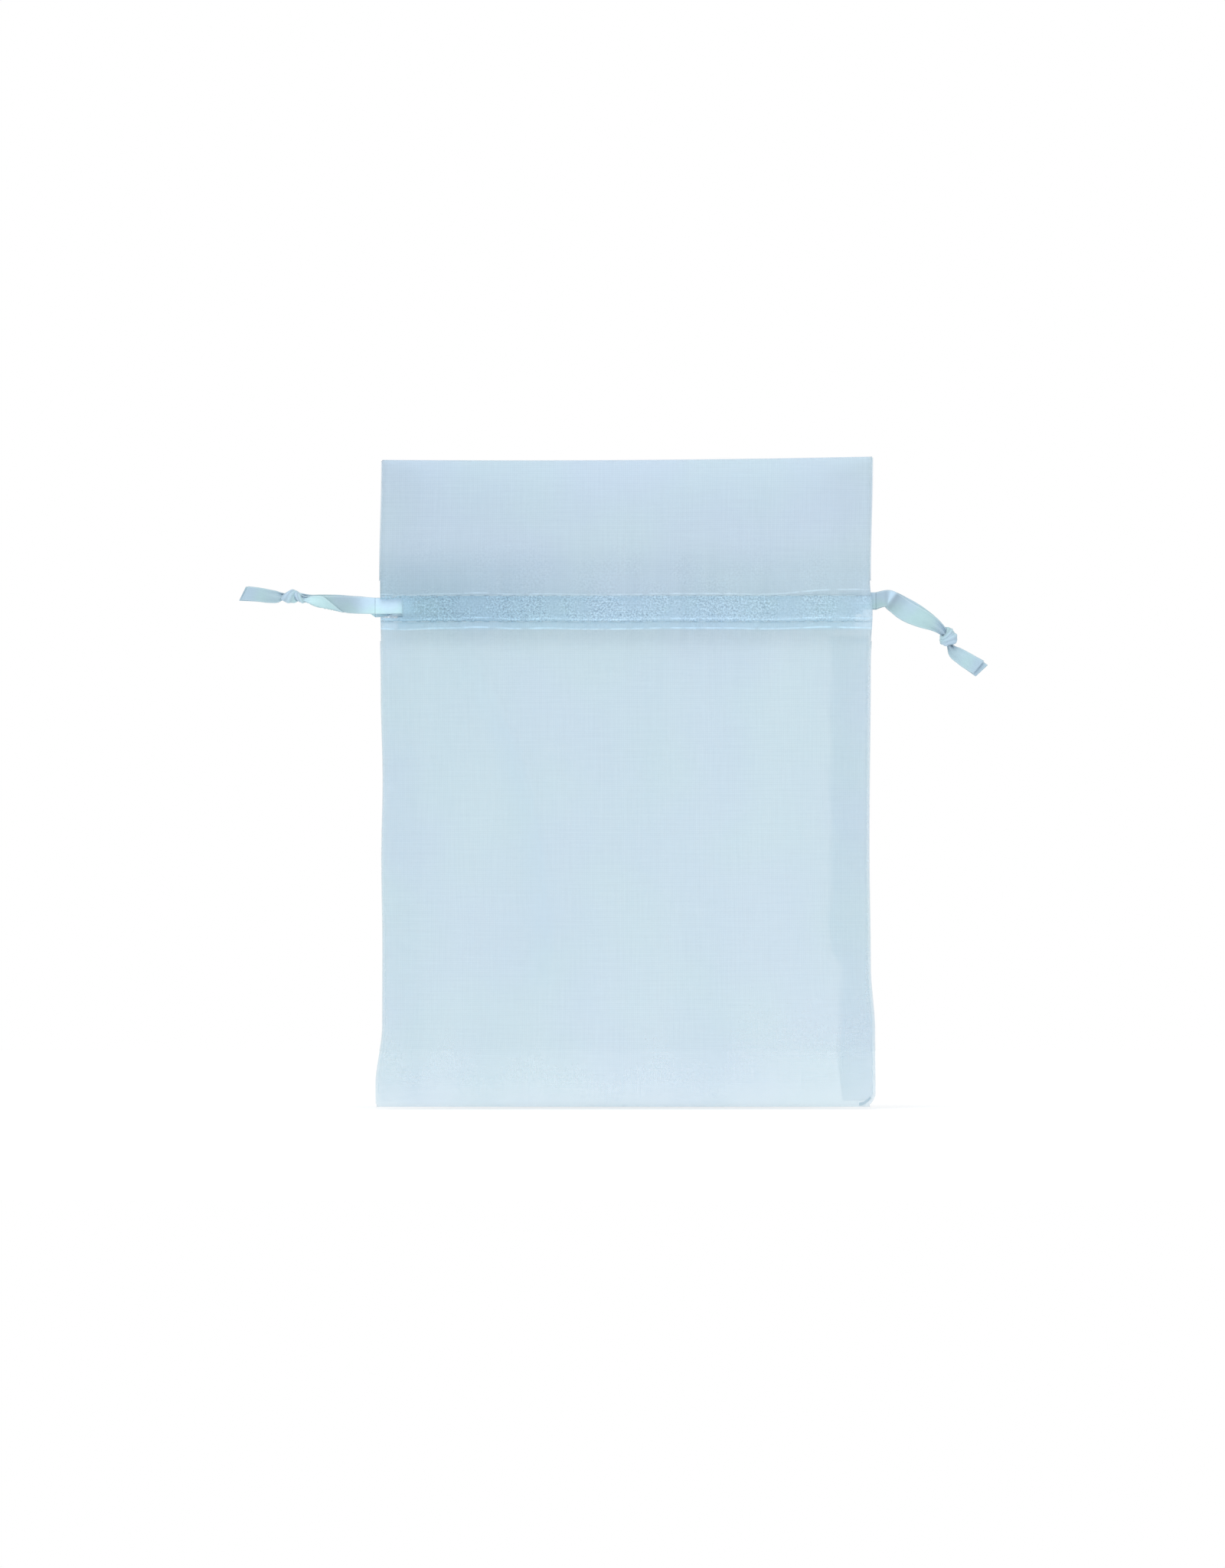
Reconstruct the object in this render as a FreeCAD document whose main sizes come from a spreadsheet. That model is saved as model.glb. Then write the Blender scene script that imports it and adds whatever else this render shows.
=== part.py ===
"""Sheer drawstring gift pouch, closed and empty, standing on its base fold.

Frame: millimetres, +Z up towards the mouth, the front of the pouch faces -Y, and the origin is at
the middle of the flat underside of the base fold.

The cloth is one blank folded at the base. Each panel's top end is turned down inside as a facing,
and two rows of stitches through panel and facing make the casing. Each of the two ribbons runs
right round through the casing: the left one has both its ends out on the left, the right one on the
right, and the two run in separate lanes of the casing, one above the other.
"""

import FreeCAD, Part
import math
import os

import Sketcher
from FreeCAD import Placement, Rotation, Vector

# Driving dimensions. A curved sheet has a plan section at each of several heights: "edge" is its
# depth from the middle plane at its side edges, and "rise" is how far its middle bulges beyond that.
SIZES = {
    "cloth": 0.3,
    "ply_gap": 0.05,
    "ribbon_width": 3.0,
    "ribbon_thick": 0.25,
    "thread_radius": 0.12,
    "stitch_length": 1.7,
    "stitch_pitch": 2.4,
    # outer cloth, from the base fold up to the lip
    "fold_top_height": 0.8,
    "fold_top_half_width": 46.0,
    "fold_top_edge": 0.55,
    "fold_top_rise": 0.3,
    "flare_height": 13.0,
    "flare_half_width": 45.8,
    "flare_edge": 0.7,
    "flare_rise": 3.0,
    "belly_height": 42.0,
    "belly_half_width": 45.0,
    "belly_edge": 0.8,
    "belly_rise": 3.7,
    "shoulder_height": 84.0,
    "shoulder_half_width": 45.0,
    "shoulder_edge": 1.0,
    "shoulder_rise": 3.2,
    "casing_low_height": 88.0,
    "casing_high_height": 95.0,
    "casing_half_width": 45.0,
    "casing_edge": 1.9,
    "casing_rise": 2.2,
    "lip_height": 119.3,
    "lip_half_width": 45.2,
    "lip_edge": 1.0,
    "lip_rise": 3.0,
    # facings
    "hem_height": 88.2,
    "tunnel_top_height": 94.6,
    "tunnel_half_width": 41.0,
    "tunnel_edge": 1.3,
    "tunnel_rise": 1.7,
    "header_low_height": 96.0,
    "header_half_width": 43.6,
    # base fold
    "fold_half_depth": 0.85,
    "fold_round": 0.25,
    # opening at the front of the left side seam, where the ribbon comes out
    "notch_edge": 41.3,
    "notch_low": 89.9,
    "notch_high": 93.7,
    # seams
    "allowance_width": 6.0,
    "allowance_thick": 0.4,
    "allowance_edge": 44.2,
    "allowance_low": 1.5,
    "allowance_high": 86.5,
    "header_allowance_low": 96.6,
    "header_allowance_high": 118.6,
    "side_stitch_line": 44.6,
    "lower_row_height": 89.4,
    "upper_row_height": 94.2,
    "row_margin": 1.6,
    # ribbon loops
    "lane_width": 1.8,
    "left_lane_height": 90.7,
    "right_lane_height": 92.9,
    "lane_clearance": 0.2,
    "loop_turn": 41.9,
    "loop_end": 48.2,
    # ribbons outside the casing: how far out, how high and how far from the middle plane
    "pinch_width": 1.3,
    "strand_depth": 0.6,
    "bend_depth": 0.45,
    "pinch_depth": 0.35,
    "tail_depth": 0.22,
    "strand_start": 46.2,
    "left_strand_height": 92.2,
    "left_bend": 52.0,
    "left_bend_height": 92.2,
    "left_pinch": 58.9,
    "left_pinch_height": 93.8,
    "right_strand_height": 93.4,
    "right_bend": 49.6,
    "right_bend_height": 93.2,
    "right_pinch": 57.8,
    "right_pinch_height": 87.8,
    # knots
    "left_knot": 61.1,
    "left_knot_height": 94.0,
    "left_knot_half_length": 2.1,
    "left_knot_radius": 1.3,
    "left_knot_slope": 3.0,
    "right_knot": 59.3,
    "right_knot_height": 86.5,
    "right_knot_half_length": 1.7,
    "right_knot_radius": 1.7,
    "right_knot_slope": 42.0,
    # ribbon tails
    "left_tail_root": 63.4,
    "left_tail_root_height": 94.1,
    "left_tail_body": 65.4,
    "left_tail_body_height": 94.5,
    "left_tail_end": 70.4,
    "left_tail_end_height": 94.8,
    "right_tail_root": 60.9,
    "right_tail_root_height": 84.9,
    "right_tail_body": 62.2,
    "right_tail_body_height": 83.6,
    "right_tail_end": 65.2,
    "right_tail_end_height": 80.9,
    "sloped_width": 4.0,
}

doc = FreeCAD.newDocument("gift_pouch")
sheet = doc.addObject("Spreadsheet::Sheet", "Sizes")
for row, (alias, length) in enumerate(SIZES.items(), start=1):
    sheet.set(f"A{row}", alias)
    sheet.set(f"B{row}", str(length))
    sheet.setAlias(f"B{row}", alias)
doc.recompute()

ORIGIN = (-1, 1)
Y_AXIS = -2
START = 1
END = 2
CENTRE = 3
FRONT = -1
BACK = 1
LEFT = -1
RIGHT = 1
HALF_TURN = Placement(Vector(), Rotation(Vector(0, 0, 1), 180))

# The outer cloth's named pieces, and the sections that each runs through.
CLOTH_STATIONS = {
    "panel": ("fold_top", "flare", "belly", "shoulder", "casing_low"),
    "casing": ("casing_low", "casing_high"),
    "header": ("casing_high", "lip"),
}

nodes = []


class Size:
    """A length worked out from sheet cells: it carries both its value and its sheet expression."""

    def __init__(self, value, text):
        self.value = value
        self.text = text

    def __add__(self, other):
        return Size(self.value + other.value, f"({self.text} + {other.text})")

    def __sub__(self, other):
        return Size(self.value - other.value, f"({self.text} - {other.text})")

    def __mul__(self, factor):
        return Size(self.value * factor, f"({self.text} * {factor})")

    def __neg__(self):
        return self * -1


def cell(alias):
    return Size(float(sheet.get(alias)), "Sizes." + alias)


NOTHING = cell("cloth") * 0


def bend_radius(half_chord, rise):
    """Radius of the arc over a chord."""
    value = (half_chord.value**2 + rise.value**2) / (2 * rise.value)
    return Size(value, f"(({half_chord.text}^2 + {rise.text}^2) / (2 * {rise.text}))")


def drop(radius, reach):
    """How far an arc falls away from its crown at a distance from its middle."""
    value = radius.value - math.sqrt(radius.value**2 - reach.value**2)
    return Size(value, f"({radius.text} - sqrt({radius.text}^2 - {reach.text}^2))")


def node(kind, label):
    """Add an object whose label names its file, and count it as one of the pouch's pieces."""
    obj = doc.addObject(kind, label.title().replace("_", ""))
    obj.Label = label
    nodes.append(obj)
    return obj


def new_sketch(body, name, plane_role, offset=NOTHING):
    """A sketch on one of the body's own origin planes, moved along that plane's normal."""
    plane = next(p for p in body.Origin.OriginFeatures if p.Role == plane_role)
    sketch = body.newObject("Sketcher::SketchObject", name)
    sketch.AttachmentSupport = [(plane, "")]
    sketch.MapMode = "FlatFace"
    sketch.setExpression(".AttachmentOffset.Base.z", offset.text)
    return sketch


def bind(sketch, name, kind, elements, length):
    """Add a dimension to a sketch and tie it to the sheet."""
    index = sketch.addConstraint(Sketcher.Constraint(kind, *elements, length.value))
    sketch.renameConstraint(index, name)
    sketch.setExpression("Constraints." + name, length.text)


def join(sketch, *pairs):
    for first, first_end, second, second_end in pairs:
        sketch.addConstraint(Sketcher.Constraint("Coincident", first, first_end, second, second_end))


def fix_point(sketch, name, geometry, point, x, y):
    """Tie a point's two coordinates to the sheet."""
    for axis, length in (("X", x), ("Y", y)):
        ends = (*ORIGIN, geometry, point)
        if length.value < 0:
            ends = (geometry, point, *ORIGIN)
            length = -length
        bind(sketch, name + axis, "Distance" + axis, ends, length)


def polygon(body, name, plane_role, offset, corners):
    """Closed outline through corners."""
    sketch = new_sketch(body, name, plane_role, offset)
    points = [Vector(x.value, y.value, 0) for x, y in corners]
    count = len(points)
    for index, point in enumerate(points):
        sketch.addGeometry(Part.LineSegment(point, points[(index + 1) % count]))
    for index, (x, y) in enumerate(corners):
        join(sketch, ((index - 1) % count, END, index, START))
        fix_point(sketch, f"Corner{index}", index, START, x, y)
    return sketch


def loft(body, sections):
    """Join sections, in order, with straight-sided skins."""
    skin = body.newObject("PartDesign::AdditiveLoft", "Skin")
    skin.Profile = sections[0]
    skin.Sections = sections[1:]
    skin.Ruled = True


def cloth_section(body, height, half_width, edge, rise):
    """Plan section of a curved sheet at one height: an outer and an inner arc with straight ends."""
    sketch = new_sketch(body, "Section", "XY_Plane", height)
    radius = bend_radius(half_width, rise)
    swing = math.asin(half_width.value / radius.value)
    down = 1.5 * math.pi
    inner_edge = edge - cell("cloth")
    arcs = []
    for depth in (edge, inner_edge):
        centre = Vector(0, radius.value - rise.value - depth.value, 0)
        circle = Part.Circle(centre, Vector(0, 0, 1), radius.value)
        arcs.append(sketch.addGeometry(Part.ArcOfCircle(circle, down - swing, down + swing)))
    outer, inner = arcs
    ends = []
    for side in (1, -1):
        near = Vector(side * half_width.value, -edge.value, 0)
        far = Vector(side * half_width.value, -inner_edge.value, 0)
        ends.append(sketch.addGeometry(Part.LineSegment(near, far)))
    right, left = ends
    join(sketch, (outer, END, right, START), (right, END, inner, END))
    join(sketch, (outer, START, left, START), (left, END, inner, START))
    for arc in arcs:
        sketch.addConstraint(Sketcher.Constraint("Symmetric", arc, START, arc, END, Y_AXIS))
    sketch.addConstraint(Sketcher.Constraint("Vertical", right))
    bind(sketch, "HalfWidth", "DistanceX", (*ORIGIN, outer, END), half_width)
    bind(sketch, "Edge", "DistanceY", (outer, END, *ORIGIN), edge)
    bind(sketch, "Cloth", "DistanceY", (right, START, right, END), cell("cloth"))
    bind(sketch, "OuterBend", "Radius", (outer,), radius)
    bind(sketch, "InnerBend", "Radius", (inner,), radius)
    return sketch


def station(name):
    """Height, half width, edge and rise of one plan section of the outer cloth."""
    if name in ("casing_low", "casing_high"):
        return [cell(name + "_height")] + [cell("casing" + part) for part in ("_half_width", "_edge", "_rise")]
    return [cell(name + part) for part in ("_height", "_half_width", "_edge", "_rise")]


def curved_sheet(label, places):
    """Sheet of cloth on the front of the pouch, lofted through plan sections."""
    body = node("PartDesign::Body", label)
    loft(body, [cloth_section(body, *place) for place in places])
    return body


def outer_cloth(side_name, placement):
    """One side's panel, casing band and header, which are one length of cloth."""
    for piece, names in CLOTH_STATIONS.items():
        body = curved_sheet(f"{side_name}_{piece}", [station(name) for name in names])
        if body.Label == "front_casing":
            cut_ribbon_opening(body)
        body.Placement = placement


def cut_ribbon_opening(body):
    """Cut the casing back at the left side seam, between its two rows of stitches."""
    doc.recompute()
    before = body.Shape.Volume
    low, high = cell("notch_low"), cell("notch_high")
    near, far = -cell("notch_edge"), -cell("left_bend")
    corners = [(near, low), (near, high), (far, high), (far, low)]
    pocket = body.newObject("PartDesign::Pocket", "RibbonOpening")
    pocket.Profile = polygon(body, "Opening", "XZ_Plane", NOTHING, corners)
    pocket.Type = "ThroughAll"
    pocket.Midplane = True
    doc.recompute()
    if body.Shape.Volume >= before:
        raise RuntimeError("the ribbon opening cuts nothing")


def facing(side_name, placement):
    """Turned-down end of the cloth: apart from it at the casing, close against it in the header."""
    ply = cell("cloth") + cell("ply_gap")
    wall = (cell("tunnel_half_width"), cell("tunnel_edge"), cell("tunnel_rise"))
    header = (cell("header_half_width"), cell("casing_edge") - ply - cell("ply_gap"), cell("casing_rise"))
    lip = (cell("header_half_width"), cell("lip_edge") - ply, cell("lip_rise"))
    heights = [("hem_height", wall), ("tunnel_top_height", wall)]
    heights += [("header_low_height", header), ("lip_height", lip)]
    places = [(cell(height), *shape) for height, shape in heights]
    curved_sheet(side_name + "_facing", places).Placement = placement


def base_fold():
    """Channel-shaped fold under both panels, with a flat underside."""
    body = node("PartDesign::Body", "base_fold")
    outer = cell("fold_half_depth")
    inner = outer - cell("cloth")
    top, floor = cell("fold_top_height"), cell("cloth")
    corners = [(-outer, top), (-outer, NOTHING), (outer, NOTHING), (outer, top)]
    corners += [(inner, top), (inner, floor), (-inner, floor), (-inner, top)]
    pad = body.newObject("PartDesign::Pad", "Channel")
    pad.Profile = polygon(body, "FoldSection", "YZ_Plane", NOTHING, corners)
    pad.setExpression("Length", (cell("fold_top_half_width") * 2).text)
    pad.Midplane = True
    doc.recompute()
    low_and_long = [
        f"Edge{index}"
        for index, edge in enumerate(pad.Shape.Edges, start=1)
        if edge.BoundBox.XLength > cell("fold_top_half_width").value and edge.BoundBox.ZMax < floor.value / 2
    ]
    creases = body.newObject("PartDesign::Fillet", "RoundedCreases")
    creases.Base = (pad, low_and_long)
    creases.setExpression("Radius", cell("fold_round").text)


def allowance(label, side, low, high):
    """Seam allowance folded flat inside one side of the pouch."""
    strip = node("Part::Box", label)
    thick, width = cell("allowance_thick"), cell("allowance_width")
    near = -cell("allowance_edge") if side == LEFT else cell("allowance_edge") - width
    strip.setExpression("Length", width.text)
    strip.setExpression("Width", thick.text)
    strip.setExpression("Height", (high - low).text)
    strip.setExpression(".Placement.Base.x", near.text)
    strip.setExpression(".Placement.Base.y", (thick * -0.5).text)
    strip.setExpression(".Placement.Base.z", low.text)


def stitch_starts(low, high):
    """Where each stitch starts, in a row centred between two limits."""
    pitch, length = cell("stitch_pitch").value, cell("stitch_length").value
    count = int((high - low - length) // pitch) + 1
    first = (low + high - (count - 1) * pitch - length) / 2
    return [first + index * pitch for index in range(count)]


def stitch_group(label, stitches, placement):
    """Separate straight stitches, each given by its two ends, as one node."""
    radius = cell("thread_radius").value
    threads = []
    for near, far in stitches:
        along = far - near
        threads.append(Part.makeCylinder(radius, along.Length, near, along))
    group = node("Part::Feature", label)
    group.Shape = Part.makeCompound(threads)
    group.Placement = placement


def casing_row(label, height, placement):
    """Row of stitches along the outside of the casing, lying on the curved cloth."""
    wide, rise = cell("casing_half_width"), cell("casing_rise")
    radius = bend_radius(wide, rise)
    crown = cell("casing_edge") + rise + cell("thread_radius") + cell("ply_gap")
    limit = (wide - cell("row_margin")).value
    half_stitch = cell("stitch_length").value / 2
    stitches = []
    for start in stitch_starts(-limit, limit):
        ends = []
        for x in (start, start + 2 * half_stitch):
            fall = radius.value - math.sqrt(radius.value**2 - x**2)
            ends.append(Vector(x, fall - crown.value, height.value))
        stitches.append(ends)
    stitch_group(label, stitches, placement)


def side_row(label, side, low, high):
    """Row of seam stitches between the front and back cloth at one side edge."""
    line = side * cell("side_stitch_line").value
    length = cell("stitch_length").value
    starts = stitch_starts(low.value, high.value)
    stitches = [(Vector(line, 0, z), Vector(line, 0, z + length)) for z in starts]
    stitch_group(label, stitches, Placement())


def ribbon_loop(label, lane_height, placement):
    """Ribbon inside the casing: along the front, round the far side seam and back along the back."""
    body = node("PartDesign::Body", label)
    radius = bend_radius(cell("casing_half_width"), cell("casing_rise"))
    wall = cell("cloth") + cell("lane_clearance") + cell("ribbon_thick") * 0.5
    crown = cell("casing_edge") + cell("casing_rise") - wall
    start, turn = cell("loop_end"), cell("loop_turn")
    path = new_sketch(body, "Run", "XY_Plane", lane_height)
    start_angle, turn_angle = (math.asin(reach.value / radius.value) for reach in (-start, turn))
    down, up = -math.pi / 2, math.pi / 2
    front_circle = Part.Circle(Vector(0, radius.value - crown.value, 0), Vector(0, 0, 1), radius.value)
    back_circle = Part.Circle(Vector(0, crown.value - radius.value, 0), Vector(0, 0, 1), radius.value)
    turn_depth = (crown - drop(radius, turn)).value
    turn_circle = Part.Circle(Vector(turn.value, 0, 0), Vector(0, 0, 1), turn_depth)
    front = path.addGeometry(Part.ArcOfCircle(front_circle, down + start_angle, down + turn_angle))
    bend = path.addGeometry(Part.ArcOfCircle(turn_circle, down, up))
    back = path.addGeometry(Part.ArcOfCircle(back_circle, up - turn_angle, up - start_angle))
    for name, run, near, far in (("Front", front, START, END), ("Back", back, END, START)):
        path.addConstraint(Sketcher.Constraint("PointOnObject", run, CENTRE, Y_AXIS))
        bind(path, name + "Bend", "Radius", (run,), radius)
        bind(path, name + "Start", "DistanceX", (run, near, *ORIGIN), start)
        bind(path, name + "Turn", "DistanceX", (*ORIGIN, run, far), turn)
    bind(path, "FrontCentre", "DistanceY", (*ORIGIN, front, CENTRE), radius - crown)
    bind(path, "BackCentre", "DistanceY", (back, CENTRE, *ORIGIN), radius - crown)
    path.addConstraint(Sketcher.Constraint("Tangent", front, END, bend, START))
    join(path, (bend, END, back, START))
    start_depth = crown - drop(radius, start)
    sweep = body.newObject("PartDesign::AdditivePipe", "Ribbon")
    sweep.Profile = ribbon_section(body, -start, -start_depth, lane_height, cell("lane_width"))
    sweep.Spine = path
    body.Placement = placement


def ribbon_section(body, reach, depth, height, width):
    """Upright cross-section of a flat ribbon that runs along X."""
    half_thick = cell("ribbon_thick") * 0.5
    low, high = height - width * 0.5, height + width * 0.5
    near, far = depth - half_thick, depth + half_thick
    corners = [(near, low), (far, low), (far, high), (near, high)]
    return polygon(body, "RibbonSection", "YZ_Plane", reach, corners)


def ribbon_run(label, side, layer, stations):
    """Flat ribbon outside the casing; each station has a reach, a height, a width and a depth."""
    body = node("PartDesign::Body", label)
    sections = []
    for reach, height, width, depth in stations:
        place = (cell(reach) * side, cell(depth) * layer, cell(height), cell(width))
        sections.append(ribbon_section(body, *place))
    loft(body, sections)


def knot(label, side):
    """Rounded overhand knot, its long axis along the ribbon."""
    lump = node("Part::Ellipsoid", label)
    lump.setExpression("Radius1", cell(label + "_half_length").text)
    lump.setExpression("Radius2", cell(label + "_radius").text)
    lump.setExpression("Radius3", cell(label + "_radius").text)
    centre = Vector(side * cell(label).value, 0, cell(label + "_height").value)
    lump.Placement = Placement(centre, Rotation(Vector(0, 1, 0), 90 + cell(label + "_slope").value))


def tie(name, side, tail_width):
    """Everything of one ribbon outside the casing: two strands, their knot and two tails."""
    strand = [("strand_start", name + "_strand_height", "ribbon_width", "strand_depth")]
    strand += [(name + "_bend", name + "_bend_height", tail_width, "bend_depth")]
    strand += [(name + "_pinch", name + "_pinch_height", "pinch_width", "pinch_depth")]
    tail = [(name + "_tail_root", name + "_tail_root_height", "pinch_width", "tail_depth")]
    tail += [(name + "_tail_body", name + "_tail_body_height", tail_width, "tail_depth")]
    tail += [(name + "_tail_end", name + "_tail_end_height", tail_width, "tail_depth")]
    for layer_name, layer in (("front", FRONT), ("back", BACK)):
        ribbon_run(f"{name}_{layer_name}_strand", side, layer, strand)
        ribbon_run(f"{name}_{layer_name}_tail", side, layer, tail)
    knot(name + "_knot", side)


def check_and_write():
    """Stop on any failed object, then write each piece to its own file."""
    doc.recompute()
    for obj in doc.Objects:
        if "Invalid" in obj.State or "Error" in obj.State:
            raise RuntimeError(f"{obj.Name} failed: {obj.State}")
    os.makedirs("parts", exist_ok=True)
    for obj in nodes:
        if obj.Shape.isNull() or not obj.Shape.isValid() or not obj.Shape.Solids:
            raise RuntimeError(f"{obj.Label} has no valid solid")
        obj.Shape.exportStep(f"parts/{obj.Label}.step")


for side_name, placement in (("front", Placement()), ("back", HALF_TURN)):
    outer_cloth(side_name, placement)
    facing(side_name, placement)
    casing_row(side_name + "_upper_casing_stitches", cell("upper_row_height"), placement)
    casing_row(side_name + "_lower_casing_stitches", cell("lower_row_height"), placement)
base_fold()

for side_name, side in (("left", LEFT), ("right", RIGHT)):
    low, high = cell("allowance_low"), cell("allowance_high")
    allowance(side_name + "_seam_allowance", side, low, high)
    side_row(side_name + "_side_stitches", side, low, high)
    low, high = cell("header_allowance_low"), cell("header_allowance_high")
    allowance(side_name + "_header_seam_allowance", side, low, high)
    side_row(side_name + "_header_stitches", side, low, high)

ribbon_loop("left_ribbon_loop", cell("left_lane_height"), Placement())
ribbon_loop("right_ribbon_loop", cell("right_lane_height"), HALF_TURN)
tie("left", LEFT, "ribbon_width")
tie("right", RIGHT, "sloped_width")

check_and_write()
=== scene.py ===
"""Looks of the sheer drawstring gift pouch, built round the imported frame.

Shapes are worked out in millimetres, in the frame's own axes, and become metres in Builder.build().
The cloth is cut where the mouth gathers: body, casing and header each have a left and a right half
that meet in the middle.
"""

from contextlib import contextmanager

import bmesh
import bpy
import numpy as np
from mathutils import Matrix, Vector


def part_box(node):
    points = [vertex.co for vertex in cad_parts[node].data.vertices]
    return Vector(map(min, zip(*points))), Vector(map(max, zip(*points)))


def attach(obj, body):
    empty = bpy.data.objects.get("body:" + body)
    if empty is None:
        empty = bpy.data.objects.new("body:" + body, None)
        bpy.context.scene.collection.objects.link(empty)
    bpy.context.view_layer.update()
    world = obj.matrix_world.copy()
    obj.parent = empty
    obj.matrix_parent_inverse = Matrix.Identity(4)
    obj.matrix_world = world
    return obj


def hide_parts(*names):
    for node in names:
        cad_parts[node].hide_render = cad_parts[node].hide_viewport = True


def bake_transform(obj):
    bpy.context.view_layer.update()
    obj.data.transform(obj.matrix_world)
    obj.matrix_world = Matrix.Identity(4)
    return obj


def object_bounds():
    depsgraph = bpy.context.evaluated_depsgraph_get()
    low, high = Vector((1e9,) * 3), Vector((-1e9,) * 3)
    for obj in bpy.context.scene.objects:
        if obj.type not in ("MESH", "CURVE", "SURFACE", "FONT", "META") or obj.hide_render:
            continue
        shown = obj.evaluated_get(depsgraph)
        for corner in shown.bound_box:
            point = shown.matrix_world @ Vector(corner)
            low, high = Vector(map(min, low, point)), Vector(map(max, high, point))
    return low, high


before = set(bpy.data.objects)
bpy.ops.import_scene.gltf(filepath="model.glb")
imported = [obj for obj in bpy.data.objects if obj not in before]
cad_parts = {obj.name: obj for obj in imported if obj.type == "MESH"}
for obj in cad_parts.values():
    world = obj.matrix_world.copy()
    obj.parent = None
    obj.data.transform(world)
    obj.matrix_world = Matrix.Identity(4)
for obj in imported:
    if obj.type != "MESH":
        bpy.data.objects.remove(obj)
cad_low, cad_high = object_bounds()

MM = 0.001
X, Z = 0, 2
LEFT, RIGHT = -1, 1
FRONT, BACK = -1, 1
SIDES = {"left": LEFT, "right": RIGHT}
FACES = {"front": FRONT, "back": BACK}
TURN = 2 * np.pi


def low(node, axis):
    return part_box(node)[0][axis] / MM


def high(node, axis):
    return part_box(node)[1][axis] / MM


def middle(node, axis):
    return (low(node, axis) + high(node, axis)) / 2


WAIST = high("front_casing", X)
BASE_HALF = high("base_fold", X)
LIP = high("front_header", Z)
HEM = low("front_facing", Z)
LOWER_ROW = middle("front_lower_casing_stitches", Z)
UPPER_ROW = middle("front_upper_casing_stitches", Z)
CASING_MIDDLE = (LOWER_ROW + UPPER_ROW) / 2
ALLOWANCE_INNER = low("right_seam_allowance", X)
SEAM_LINE = middle("right_side_stitches", X)
# where the left front casing's cloth ends and leaves the ribbon bare
OPENING_EDGE = 41.3
# the header would stop following the gather this far above the casing
HEADER_FLARE = 62.0
# the facings end at this share of the way from the middle to the side seams
FACING_REACH = 0.93
# the sides are sewn up to here, and above this the ribbons come out
SEAM_TOP = HEM - 2

PLY = 0.12
ALLOWANCE_PLY = PLY * 0.8
RIBBON_PLY = 0.13
RIBBON_HALF = 1.5
# cells of the cloth's mesh, and fine ones near the casing
CELL = 0.8
FINE_CELL = 0.24
# points this near to the middle belong to the join of the two halves
MIDDLE_SNAP = 0.15


# -------- mesh helpers


def add_object(name, data):
    obj = bpy.data.objects.new(name, data)
    bpy.context.scene.collection.objects.link(obj)
    return obj


@contextmanager
def reshaping(mesh):
    """The mesh's points and faces, to be changed and then put back."""
    shape = bmesh.new()
    shape.from_mesh(mesh)
    yield shape
    shape.to_mesh(mesh)
    shape.free()


class Builder:
    """Collects grids of points into one mesh."""

    def __init__(self):
        self.points = []
        self.weave = []
        self.faces = []

    def grid(self, points, weave, keep=None):
        """Add a grid and return its point numbers; keep says which of its cells are cloth."""
        rows, columns = points.shape[:2]
        numbers = len(self.points) + np.arange(rows * columns).reshape(rows, columns)
        self.points.extend(points.reshape(-1, 3).tolist())
        self.weave.extend(weave.reshape(-1, 3).tolist())
        for r in range(rows - 1):
            for c in range(columns - 1):
                if keep is None or keep[r, c]:
                    lower, upper = numbers[r, c:c + 2], numbers[r + 1, c:c + 2]
                    self.faces.append((lower[0], lower[1], upper[1], upper[0]))
        return numbers

    def bridge(self, first, second, bulge, steps=3):
        """Join two edges of equal length with a rounded turn of cloth."""
        previous = list(first)
        start = np.array([self.points[i] for i in first])
        finish = np.array([self.points[i] for i in second])
        places = np.array([self.weave[i] for i in first])
        for step in range(1, steps + 1):
            angle = np.pi * step / (steps + 1)
            share = (1 - np.cos(angle)) / 2
            ring = start * (1 - share) + finish * share + np.array(bulge) * np.sin(angle)
            numbers = list(range(len(self.points), len(self.points) + len(ring)))
            self.points.extend(ring.tolist())
            self.weave.extend((places - np.array([0, 0.3 * step, 0])).tolist())
            self.strip(previous, numbers)
            previous = numbers
        self.strip(previous, list(second))

    def strip(self, first, second):
        for i in range(len(first) - 1):
            self.faces.append((first[i], first[i + 1], second[i + 1], second[i]))

    def build(self, name):
        mesh = bpy.data.meshes.new(name)
        points = (np.array(self.points) * MM).tolist()
        mesh.from_pydata(points, [], [tuple(int(i) for i in face) for face in self.faces])
        attribute = mesh.attributes.new("weave", "FLOAT_VECTOR", "POINT")
        attribute.data.foreach_set("vector", np.array(self.weave, np.float32).ravel())
        with reshaping(mesh) as shape:
            loose = [vert for vert in shape.verts if not vert.link_faces]
            bmesh.ops.delete(shape, geom=loose, context="VERTS")
            bmesh.ops.recalc_face_normals(shape, faces=shape.faces)
        mesh.polygons.foreach_set("use_smooth", [True] * len(mesh.polygons))
        return add_object(name, mesh)


def apply_modifiers(obj):
    graph = bpy.context.evaluated_depsgraph_get()
    mesh = bpy.data.meshes.new_from_object(obj.evaluated_get(graph))
    mesh.name = obj.name
    obj.modifiers.clear()
    obj.data = mesh
    return obj


def thicken(obj, thickness):
    shell = obj.modifiers.new("ply", "SOLIDIFY")
    shell.thickness = thickness * MM
    shell.offset = 0
    return apply_modifiers(obj)


def open_middle(obj):
    """Take away the rim where two halves of the cloth meet, so that no line shows down the middle."""
    with reshaping(obj.data) as shape:
        at_middle = {vert for vert in shape.verts if abs(vert.co.x) < MIDDLE_SNAP * MM}
        rim = [face for face in shape.faces if at_middle.issuperset(face.verts)]
        for vert in at_middle:
            vert.co.x = 0
        bmesh.ops.delete(shape, geom=rim, context="FACES_ONLY")


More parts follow.
